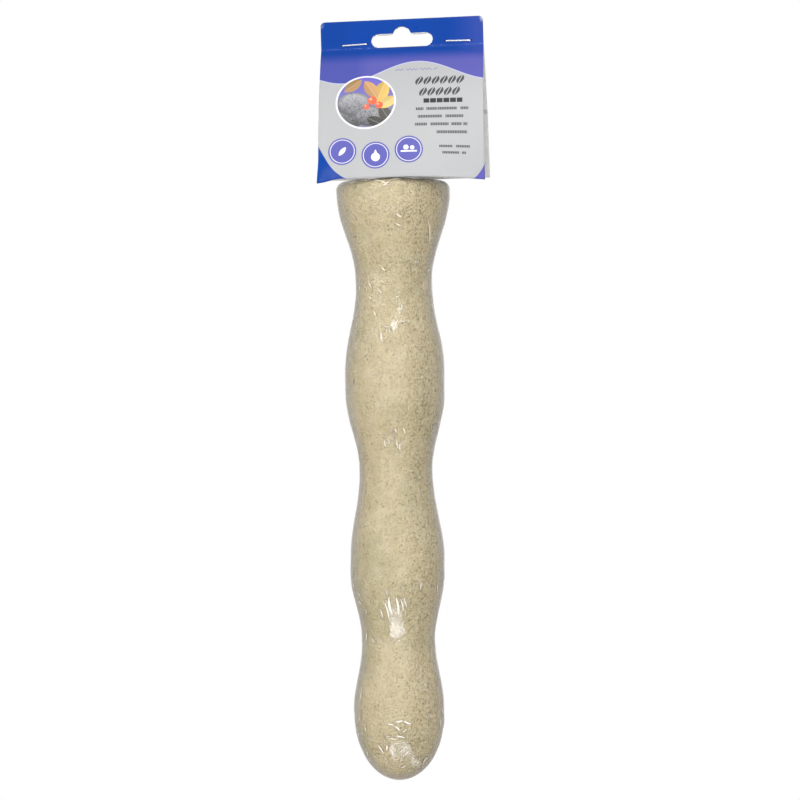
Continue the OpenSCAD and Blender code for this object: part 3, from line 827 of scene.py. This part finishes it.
def printMaterial():
    material, start, place = newMaterial("printed_board")
    flat = start.add("ShaderNodeUVMap", {"uv_map": "print"})
    x, s = flat.part("X"), flat.part("Y")
    soft = 0.12
    lilac, grey, ink, black, white = (printing[tone] for tone in ("lilac", "grey", "ink", "black", "white"))
    base = place.noise(25, 2).between(0.3, 0.7).blend(printing["blue"], printing["deep"])

    # Lays a colour over what is there
    def paint(mask, tone):
        nonlocal base
        base = mask.blend(base, tone)

    def disc(middleX, middleS, radius):
        return flat.vectors("DISTANCE", (middleX, middleS, 0), 1).between(radius + soft, radius - soft)

    def within(wire, low, high):
        return (wire - low).between(-soft, soft) * (high - wire).between(-soft, soft)

    # 1 nearer than inner to a level, and 0 past outer
    def near(wire, level, outer, inner):
        return (wire - level).size().between(outer, inner)

    # Where two equal discs overlap, whose middles lie on opposite sides of a point
    def overlap(middleX, middleS, offX, offS, radius):
        return disc(middleX + offX, middleS + offS, radius) * disc(middleX - offX, middleS - offS, radius)

    # Dashes: two slow waves leave gaps where they add up, and a quick one parts the strokes
    def dashes(shape, slow, slower, phases):
        gaps = ((x * slow + phases[0]).wave() + (x * slower + phases[1]).wave() * 0.7).between(1.25, 1.0)
        strokes = (x * 7.4 + phases[2]).wave().between(-0.9, 0.2) * 0.6 + 0.4
        paint(shape * gaps * strokes, ink)

    # A leaf is where two equal discs overlap, with a pale midrib and side veins
    def leaf(below, middleX, middleS, length, lean, tone):
        offX, offS = 0.36 * length * math.cos(lean), -0.36 * length * math.sin(lean)
        shape = overlap(middleX, middleS, offX, offS, math.hypot(length / 2, 0.36 * length))
        across = (x - middleX) * math.cos(lean) - (s - middleS) * math.sin(lean)
        along = (x - middleX) * math.sin(lean) + (s - middleS) * math.cos(lean)
        sideVeins = ((across.size() - along) * 4.2).wave().between(0.75, 1.0) * 0.5
        vein = across.size().between(0.32, 0.1).atLeast(sideVeins)
        shaded = across.between(-2.5, 2.5).blend(colour(*(0.72 * part for part in tone)), colour(*tone))
        return shape.blend(below, (vein * 0.45).blend(shaded, colour(*(0.3 + 0.7 * part for part in tone))))

    # Painted sheen: below the crease the bowed card's blue turns lilac where it would reflect the light from
    # above, least at its left foot
    panel = (creaseAt + 0.5 - s).between(-1.5, 2.5) * (s - creaseAt + 2).size().between(0, 9)
    paintedSheen = x.between(-38, -14).atLeast(s.between(10, 32) * 0.7) * panel
    paint(paintedSheen.atLeast(x.between(22, 44) * 0.30 * s.between(20, 70)), lilac)
    # The light field, below a long wave and between two blue corners
    level, waves, phase, high = printing["wave"]
    top = level + (x * waves + phase).wave() * high
    (left, leftBend), (right, rightBend) = printing["corners"]
    foot = ((left - x).atLeast(0) ** 2.0 * leftBend).atLeast((x - right).atLeast(0) ** 2.0 * rightBend) - 0.6
    field = (top - s).between(-soft, soft) * (s - foot).between(-soft, soft)
    paint(within(s - top, 0.0, 0.7) * 0.6, white)
    paint(field, grey)
    # The picture: a lilac sky, mottled pebbles, autumn leaves and red berries
    middleX, middleS, radius = printing["picture"]
    paint(disc(middleX, middleS, radius + 0.9), white)
    picture = (s - middleS).between(-6, 12).blend(colour(0.20, 0.20, 0.30), colour(0.15, 0.13, 0.50))
    speck = place.placed(scale=(1, 1, 0.6)).noise(1500, 3, 0.7)
    patch = place.noise(420, 2)
    for pebbleX, pebbleS, halfLong, halfTall, low, high in printing["pebbles"]:
        centred = (-pebbleX / halfLong, -pebbleS / halfTall, 0)
        away = flat.placed(scale=(1 / halfLong, 1 / halfTall, 1), move=centred).vectors("LENGTH", (0, 0, 0), 1)
        light = (s - pebbleS).between(-halfTall * 1.2, halfTall) * 0.55 + patch * 0.5
        light = light - speck.between(0.52, 0.62) * 0.35
        stone = light.between(0.1, 0.9).blend(colour(low, low, low * 1.06), colour(high, high, high * 1.04))
        stone = (away.between(0.75, 1.0) * 0.5).blend(stone, colour(0.06, 0.06, 0.07))
        picture = away.between(1.02, 0.97).blend(picture, stone)
    for values in printing["leaves"]:
        picture = leaf(picture, *values)
    for berryX, berryS, berryR in printing["berries"]:
        picture = disc(berryX, berryS, berryR).blend(picture, colour(0.80, 0.13, 0.06))
        glint = disc(berryX - 0.35 * berryR, berryS + 0.35 * berryR, 0.3 * berryR) * 0.7
        picture = glint.blend(picture, colour(0.95, 0.55, 0.40))
    paint(disc(middleX, middleS, radius), picture)
    for middleX, middleS, radius in printing["discs"]:
        paint(disc(middleX, middleS, radius), lilac)
        paint(disc(middleX, middleS, radius - 0.8) - disc(middleX, middleS, radius - 1.15), white)
    # Icons: a leaf, a drop and two berries on a twig
    (leafX, leafS), (dropX, dropS), (twigX, twigS) = (spot[:2] for spot in printing["discs"])
    sprig = overlap(leafX, leafS, 2.2, -1.8, 4.0)
    drop = disc(dropX, dropS - 1.0, 2.2).atLeast(overlap(dropX, dropS + 0.8, 2.8, 0, 3.5))
    twig = within(x, twigX - 4, twigX + 4) * near(s, twigS - 1.0, 0.5, 0.3)
    twig = twig.atLeast(disc(twigX - 1.4, twigS + 1.0, 1.3)).atLeast(disc(twigX + 1.7, twigS + 0.8, 1.1))
    paint(sprig.atLeast(drop).atLeast(twig), white)
    for left, count, pitch, middleS, halfTall in printing["borders"]:
        link = (x - left - (s - middleS) * 0.45) / pitch
        side = (link.maths("FRACT", link) - 0.5).size() * pitch
        # A leaf's half width falls with the square of the way from its middle, and its midrib stays bare
        height = (s - middleS) / halfTall
        oval = ((1 - height * height) * 1.75 - side).between(-soft, soft)
        paint(oval * side.between(0.16, 0.34) * within(link, 0.0, count + 0.0), ink)
    for number, (left, right, middleS, halfTall) in enumerate(printing["dashes"]):
        shape = within(x, left, right) * near(s, middleS, halfTall + soft, halfTall - soft)
        dashes(shape, 1.15, 0.71, (number * 2.3, number * 5.1, number))
    # One bold line of dashes, and a thin scribbled line over the wave
    left, right, middleS = printing["bold"]
    paint(within(x, left, right) * near(s, middleS, 1.35, 1.1) * (x * 1.9 - 0.6).wave().between(0.97, 0.9), black)
    left, right, middleS = printing["scribble"]
    scribble = near(s - middleS, (x * 3.3).wave() * 0.45, 0.32, 0.12) * within(x, left, right)
    paint(scribble * (x * 0.9).wave().between(0.95, 0.8) * 0.8, lilac)
    # The back: a light panel with lines of dashes
    middleX, middleS, halfLong, halfTall, corner = printing["backPanel"]
    middleS = 2 * foldAt - middleS
    away = flat.vectors("SUBTRACT", (middleX, middleS, 0)).vectors("ABSOLUTE", (0, 0, 0))
    away = away.vectors("SUBTRACT", (halfLong - corner, halfTall - corner, 0)).vectors("MAXIMUM", (0, 0, 0))
    backField = away.vectors("LENGTH", (0, 0, 0), 1).between(corner + soft, corner - soft)
    paint(backField, grey)
    for down, halfLong in printing["backDashes"]:
        shape = near(s, 2 * foldAt - down, 0.65, 0.45) * x.size().between(halfLong + soft, halfLong - soft)
        dashes(shape, 0.95, 0.57, (down * 2.3, down, down))
    # Board shows where the ink is worn along the fold, the creases and the corners
    wear = place.noise(700, 3)
    fold = near(s, foldAt, 0.8, 0.1) * wear.between(0.48, 0.66) * 0.25
    creases = near(s, creaseAt, 0.4, 0.05).atLeast(near(s, 2 * foldAt - creaseAt, 0.4, 0.05))
    creases = creases * wear.between(0.50, 0.66) * 0.10
    corners = near(x.size(), card["width"] / 2, 2.2, 0.3) * near(s, foldAt, 4.5, 1.5)
    corners = corners * wear.between(0.46, 0.58) * 0.5
    paint(fold.atLeast(creases).atLeast(corners), white)
    # Painted shade: black discs where the staples go in, for the dark of holes that the card's mesh doesn't have
    halfCrown, stapleS = staple["crown"] / 2, creaseAt + staple["drop"] + card["band"]
    for middle, slope in staple["places"].values():
        for side in (-1, 1):
            rise = side * halfCrown * math.tan(math.radians(slope))
            paint(disc(middle + side * (halfCrown + 0.15), stapleS + rise, 0.42), black)
    gloss = place.noise(60, 2)
    inked = start.principled({
        "Base Color": base, "Roughness": 0.24 + gloss * 0.10, "Specular IOR Level": 0.16,
        "Normal": place.noise(90, 2).bump(0.15 * mm, 0.25),
    })
    bare = start.principled({"Base Color": base, "Roughness": 0.30 + gloss * 0.10, "Specular IOR Level": 0.3})
    return finished(material, field.atLeast(backField).mixShader(inked, bare))


def boardMaterial():
    material, start, place = newMaterial("grey_board")
    fibre = place.placed(scale=(1, 1, 0.3)).noise(900, 4, 0.65)
    base = fibre.between(0.3, 0.7).blend(colour(0.54, 0.54, 0.53), colour(0.66, 0.66, 0.65))
    base = (place.noise(260, 2).between(0.60, 0.68) * 0.5).blend(base, colour(0.25, 0.24, 0.22))
    relief = fibre.bump(0.08 * mm, 0.6)
    return finished(material, start.principled({"Base Color": base, "Roughness": 0.85, "Normal": relief}))


cardMade = dress(makeCard(), printMaterial(), ["header_card"])
cardMade.data.materials.append(boardMaterial())
print("card made:", len(cardMade.data.polygons), "faces")


# Neck of the film inside the card

neck = {
    "around": 360,
    "rings": 60,
    "footRadius": 25.14,
    "footHeight": 0.5,
    "topWidth": 71.4,
    "topThick": 0.5,
    "belly": 13.0,
    "pleats": 0.9,
    # Waves of the pleats, most turns of one, and the height of one as a share of the neck
    "pleatWaves": (30, 46, 2.5),
    "thin": 0.08,
    "tailRows": 10,
    # The tail's edge: height beside the slot and under it, half width of the low part, height of its waves
    "edge": (-8.5, -14.75, 16.4),
    "ragged": 0.35,
    "raggedWaves": (20, 40, 1),
    "slack": 0.6,
    # Below this the card keeps all gloss away
    "glossFrom": 4.5,
    "seed": 21,
}


# Rings from a circle on the rim to a flat loop at the crease, with pleats, then a flat tail in the card's band
def makeNeck():
    angle = roundOf(neck["around"])
    share = np.linspace(0, 1, neck["rings"])[:, None]
    around, up = np.cos(angle), np.sin(angle)
    flat = keepSign(up, 0.7)
    creaseHeight = -card["band"] - 0.4

    # A loop of the flat top, across and through the card
    def loop(inset):
        return (neck["topWidth"] / 2 - inset) * around, (neck["topThick"] / 2 - inset) * flat

    def ringsAt(inset):
        radius = neck["footRadius"] - inset
        foot = np.stack([radius * around, radius * up, 0 * up + neck["footHeight"]], -1)
        top = np.stack([*loop(inset), 0 * up + creaseHeight], -1)
        ring = foot + (fromCard(top) / mm - foot) * share[..., None]
        ring[..., 1] += neck["belly"] * share * (1 - share) * up
        pleat = turningWaves(angle + 0.35 * share * np.sin(2 * angle), share, *neck["pleatWaves"], neck["seed"])
        deep = neck["pleats"] * np.sin(np.pi * share) ** 0.8 * (1 - 0.75 * share) * (0.5 * pleat - 0.75)
        ring[..., 0] += deep * around
        ring[..., 1] += deep * up
        return ring

    # The tail's top edge is lower round the hanging slot
    rise = np.linspace(0, 1, neck["tailRows"])[1:, None]
    high, low, halfSlot = neck["edge"]
    ragged = neck["ragged"] * turningWaves(angle, 0 * angle, *neck["raggedWaves"], neck["seed"] + 1)

    def tailAt(inset):
        across, deep = loop(inset)
        edge = low + (high - low + ragged) * ease((np.abs(across) - halfSlot) / 0.8)
        level = creaseHeight + (edge - creaseHeight) * rise
        return fromCard(np.stack([across + 0 * rise, deep + 0 * rise, level], -1)) / mm

    thin = neck["thin"]
    rings = np.concatenate([ringsAt(0), tailAt(0), tailAt(thin)[::-1], ringsAt(thin)[::-1]])
    made = closedRing("gathered_film_neck", rings * mm)
    giveAttribute(made, "slack", np.full(rings.shape[:2], neck["slack"]))
    giveAttribute(made, "crease", np.where(rings[..., 2] < neck["glossFrom"], -1.0, 0.0))
    return made


neckMade = dress(makeNeck(), clearFilm, ["film_neck"])
print("film neck made:", len(neckMade.data.polygons), "faces")


# Staples

# A flattened wire carried along a path with rounded corners: over the front, through the board, folded in behind
def makeStaple(name, middle, slope):
    half = (staple["crown"] - staple["thin"]) / 2
    depth = foldRadius + staple["gap"] + staple["thin"] / 2
    corner = staple["corner"]
    turn = np.radians(np.linspace(0, 90, staple["cornerPoints"]))
    frontRight = np.stack([half - corner + corner * np.sin(turn), -depth + corner - corner * np.cos(turn)], -1)
    backRight = np.stack([half - corner + corner * np.cos(turn), depth - corner + corner * np.sin(turn)], -1)
    tip = np.array([[half - staple["fold"] + 1.0, depth + 0.02], [half - staple["fold"] + 0.3, depth]])
    halfPath = np.concatenate([[[0.0, -depth], [half * 0.5, -depth - 0.02]], frontRight, backRight, tip])
    path = np.concatenate([(halfPath * [-1, 1])[::-1][:-1], halfPath])
    ahead = np.gradient(path, axis=0)
    ahead /= np.linalg.norm(ahead, axis=1)[:, None]
    around = roundOf(staple["around"])
    # A rounded rectangle from powers of a sine and a cosine
    out = keepSign(np.cos(around), staple["square"]) * staple["thin"] / 2
    level = keepSign(np.sin(around), staple["square"]) * staple["wide"] / 2 + 0 * path[:, :1]
    spread = path[:, :1] - ahead[:, 1:] * out
    deep = path[:, 1:] + ahead[:, :1] * out
    tilt = math.radians(slope)
    points = fromCard(np.stack([
        middle + spread * math.cos(tilt) - level * math.sin(tilt), deep,
        staple["drop"] + spread * math.sin(tilt) + level * math.cos(tilt),
    ], -1))
    return closedTube(name, points, points[0].mean(0), points[-1].mean(0))


def metalMaterial(name, tone, rough, brushed):
    material, start, place = newMaterial(name)
    scratch = place.placed(scale=brushed).noise(1500, 3, 0.6)
    cloud = place.noise(120, 3)
    base = cloud.between(0.35, 0.7).blend(tone, tuple(0.86 * part for part in tone[:3]) + (1,))
    return finished(material, start.principled({
        "Base Color": base, "Metallic": 1.0, "Roughness": rough + cloud * 0.14,
        "Normal": scratch.bump(0.03 * mm, 0.5),
    }))


stapleWire = metalMaterial("staple_wire", colour(0.66, 0.66, 0.67), 0.20, (0.1, 1, 1))
for nodeName, (middle, slope) in staple["places"].items():
    made = makeStaple(nodeName.replace("staple", "wire_staple"), middle, slope)
    dress(made, stapleWire, [nodeName])
print("staples made")


# Stud and washers, in millimetres

hardware = {
    "studRadius": 3.0,
    "studOut": 35.0,
    "studTip": 0.8,
    "pitch": 1.0,
    "threadDepth": 0.60,
    # The machine thread runs out below this height, to a waist of this depth
    "threadFrom": 0.6,
    "waist": 0.35,
    "screwLength": 32.0,
    "screwPitch": 2.6,
    "screwDepth": 0.75,
    "screwTop": -9,
    # The screw's tip: length, growth of its radius, radius at the end
    "screwTip": (7, 2.4, 0.3),
    # Points round the stud, rows of points of the screw and of the thread, and where they meet
    "studAround": 48,
    "rows": (190, 440),
    "meet": (-1.7, -1.55),
    "washerRadius": 15.0,
    "washerHole": 3.3,
    "washerThick": 1.6,
    "washerBevel": 0.22,
    "washerAround": 120,
}


# A rod whose radius falls by a triangle wave of its height less its turns, with a taper at both ends
def makeStud():
    angle = roundOf(hardware["studAround"])
    full, seat = hardware["studRadius"], hardware["washerThick"]
    bottom, top = -seat - hardware["screwLength"], hardware["studOut"]
    (below, above), (screwRows, threadRows) = hardware["meet"], hardware["rows"]
    height = np.concatenate([
        np.linspace(bottom + 0.05, below, screwRows), np.linspace(above, top - 0.02, threadRows),
    ])[:, None]

    # From 0 at a thread's crest to 1 in its groove
    def groove(pitch):
        return np.abs((height / pitch - angle / (2 * math.pi)) % 1 - 0.5) * 2

    threadR = full - hardware["threadDepth"] * ease(1.25 * groove(hardware["pitch"]) - 0.12)
    waistR = full - hardware["waist"] * ease((height - 0.1) / 0.5)
    threadR = np.where(height < hardware["threadFrom"], waistR, threadR)
    screwR = full - hardware["screwDepth"] * ease(2.2 * groove(hardware["screwPitch"]) - 0.2)
    screwR = np.where(height > hardware["screwTop"], full - 0.1, screwR)
    long, growth, end = hardware["screwTip"]
    tip = np.minimum((height - bottom) / long * growth + end, top - height + full - hardware["studTip"])
    radius = np.minimum(np.where(height < -seat, screwR, threadR), tip)
    rings = roundAxis(radius, angle, height) * mm
    return closedTube("threaded_stud", rings, (0, 0, bottom * mm), (0, 0, top * mm))


# A flat ring with soft stamped edges, turned round the axis
def makeWasher(name, bottom):
    inner, outer, top = hardware["washerHole"], hardware["washerRadius"], bottom + hardware["washerThick"]
    profile = bevelled([(inner, bottom), (outer, bottom), (outer, top), (inner, top)], hardware["washerBevel"])
    return closedRing(name, ringsRound(*profile.T * mm, roundOf(hardware["washerAround"])))


zinc = metalMaterial("bright_zinc", colour(0.84, 0.85, 0.86), 0.30, (1, 1, 0.2))
dress(makeStud(), zinc, ["hanger_bolt"])
dress(makeWasher("inner_washer", -hardware["washerThick"]), zinc, ["perch_washer"])
dress(makeWasher("outer_cage_washer", 0.0), zinc, ["cage_washer"], "outer_washer")
print("stud and washers made")


# Wing nut, in millimetres

wing = {
    "hubRadius": 5.75,
    "hubTop": 4.8,
    "hubHeight": 7.0,
    "bore": 3.05,
    "span": 26.0,
    "tall": 12.5,
    "endWidth": 8.0,
    "thick": 2.2,
    # Where a wing starts: radius, height of its middle, half height, growth of its half thickness
    "root": (3.95, 4.6, 2.9, 0.35),
    "bevel": 0.45,
    "hubAround": 96,
    "wingPoints": 40,
    "voxel": 0.24,
    "softenTimes": 5,
}


# A turned hub and two wings, each a bar that widens and rises outwards to a round end, melted into one casting
def makeWingNut():
    base, bore = hardware["washerThick"], wing["bore"]
    top = base + wing["hubHeight"]
    hubCorners = [(bore, base), (wing["hubRadius"], base), (wing["hubTop"], top), (bore, top)]
    profile = bevelled(hubCorners, wing["bevel"])
    hub = ringsRound(*profile.T, roundOf(wing["hubAround"]))
    share = np.linspace(0, 1, wing["wingPoints"])[:, None]
    around = roundOf(wing["wingPoints"])
    rootR, rootHeight, rootHalf, rootThick = wing["root"]
    endR, farR = wing["endWidth"] / 2, wing["span"] / 2
    reach = rootR + (farR - rootR) * share
    middle = base + rootHeight + (wing["tall"] - endR - rootHeight) * ease(share * 1.15)
    halfTall = rootHalf + (endR - rootHalf) * share
    closing = np.sqrt(np.clip(1 - (np.maximum(reach - (farR - endR), 0) / endR) ** 2, 0, 1))
    halfThick = (wing["thick"] / 2 + rootThick * (1 - share)) * np.clip(closing * 1.6, 0, 1)
    blade = np.stack([
        reach + 0 * around, halfThick * keepSign(np.cos(around), 0.75),
        middle + halfTall * closing * keepSign(np.sin(around), 0.9),
    ], -1)
    points, faces = hub.reshape(-1, 3), ringFaces(hub).ravel()
    sizes = [4] * (len(faces) // 4)
    for side in (1, -1):
        turned = blade * [side, side, 1]
        more = tubeParts(turned, turned[0].mean(0), turned[-1].mean(0), len(points))
        points, faces = np.concatenate([points, more[0]]), np.concatenate([faces, more[1]])
        sizes = sizes + more[2]
    rough = makeObject("rough_wing_nut", points * mm, faces, sizes)
    melt = rough.modifiers.new("melt", "REMESH")
    melt.mode = "VOXEL"
    melt.voxel_size = wing["voxel"] * mm
    melt.use_smooth_shade = True
    soften = rough.modifiers.new("soften", "SMOOTH")
    soften.factor = 0.5
    soften.iterations = wing["softenTimes"]
    mesh = bpy.data.meshes.new_from_object(rough.evaluated_get(bpy.context.evaluated_depsgraph_get()))
    bpy.data.objects.remove(rough)
    mesh.materials.clear()
    return newObject("cast_wing_nut", mesh)


nut = dress(makeWingNut(), zinc, ["wing_nut"], "nut")
print("wing nut made:", len(nut.data.polygons), "faces")


# Hardwood core inside the casting

def woodMaterial():
    material, start, place = newMaterial("sawn_hardwood")
    grain = place.placed(scale=(1, 1, 0.05)).noise(420, 4, 0.6)
    base = grain.between(0.35, 0.65).blend(colour(0.46, 0.27, 0.12), colour(0.62, 0.42, 0.22))
    relief = grain.bump(0.2 * mm, 0.5)
    return finished(material, start.principled({"Base Color": base, "Roughness": 0.7, "Normal": relief}))


core = bpy.data.objects["core_dowel"]
core.data.materials.clear()
core.data.materials.append(woodMaterial())
print("core dressed")


# Studio: width, height, degrees to the right, distance, degrees up and brightness of each lamp

studio = {
    "floorHeight": -0.42,
    "floorSize": 3.0,
    "lamps": {
        "front_box": (0.34, 1.2, 9, 1.35, -22, 12.2),
        "high_box": (1.0, 0.9, 18, 1.35, 44, 3.0),
        "key_box": (0.45, 1.4, -42, 1.3, 4, 4.5),
        "back_box": (1.1, 1.4, 176, 1.35, 8, 1.5),
    },
    "fill": 0.42,
    "aim": (0, 0, -0.11),
    # The floor's grey, the share of its plain white near the object, and where its shadow fades
    "floorGrey": 0.92,
    "whiteNear": 0.80,
    "shadow": (0.45, 0.72),
    "lens": 115.4,
    "sensor": 36,
    "camera": (0.0023, -1.29, -0.1094),
    "roll": 0.71,
}


def makeLamp(name, wide, tall, turned, away, raised, brightness):
    lamp = bpy.data.lights.new(name, "AREA")
    lamp.shape = "RECTANGLE"
    lamp.size, lamp.size_y = wide, tall
    lamp.energy = brightness * math.pi * wide * tall
    made = newObject(name, lamp)
    turn, lift = math.radians(turned), math.radians(raised)
    back = np.array([math.sin(turn) * math.cos(lift), -math.cos(turn) * math.cos(lift), math.sin(lift)])
    made.location = np.array(studio["aim"]) + back * away
    made.rotation_euler = (math.radians(90) - lift, 0, turn)
    made.visible_camera = False


for lampName, values in studio["lamps"].items():
    makeLamp(lampName, *values)


# 1 where the camera, a reflection or a see-through ray looks, 0 where light falls on the object
def lookedAt(wire):
    rays = wire.add("ShaderNodeLightPath")
    return rays.atLeast(rays.also("Is Glossy Ray")).atLeast(rays.also("Is Transmission Ray"))


world = bpy.data.worlds.new("white_room")
bpy.context.scene.world = world
world.use_nodes = True
world.node_tree.nodes.clear()
room = Wire(world.node_tree)
strength = studio["fill"] + (1 - studio["fill"]) * lookedAt(room)
backdrop = room.add("ShaderNodeBackground", None, {"Color": (1, 1, 1, 1), "Strength": strength})
room.add("ShaderNodeOutputWorld", None, {"Surface": backdrop})

half, down = studio["floorSize"] / 2, studio["floorHeight"]
corners = [(-half, -half, down), (half, -half, down), (half, half, down), (-half, half, down)]
floor = makeObject("pale_floor", corners, [0, 1, 2, 3], [4])
paleFloor, start, place = newMaterial("pale_floor")
# The floor keeps the object's shadow near it and is plain white further out
distance = place.vectors("LENGTH", (0, 0, 0), 1)
matte = start.add("ShaderNodeBsdfDiffuse", None, {"Color": colour(*3 * [studio["floorGrey"]])})
glow = start.add("ShaderNodeEmission", None, {"Color": (1, 1, 1, 1), "Strength": 1.0})
whiteness = studio["whiteNear"] + distance.between(*studio["shadow"]) * (1 - studio["whiteNear"])
floor.data.materials.append(finished(paleFloor, (lookedAt(start) * whiteness).mixShader(matte, glow)))

lens = bpy.data.cameras.new("camera")
camera = newObject("camera", lens)
lens.lens = studio["lens"]
lens.sensor_width = studio["sensor"]
lens.dof.use_dof = False
camera.location = studio["camera"]
camera.rotation_euler = (math.radians(90), math.radians(studio["roll"]), 0)
bpy.context.scene.camera = camera
bpy.context.scene.view_settings.view_transform = "Standard"
print("studio made")
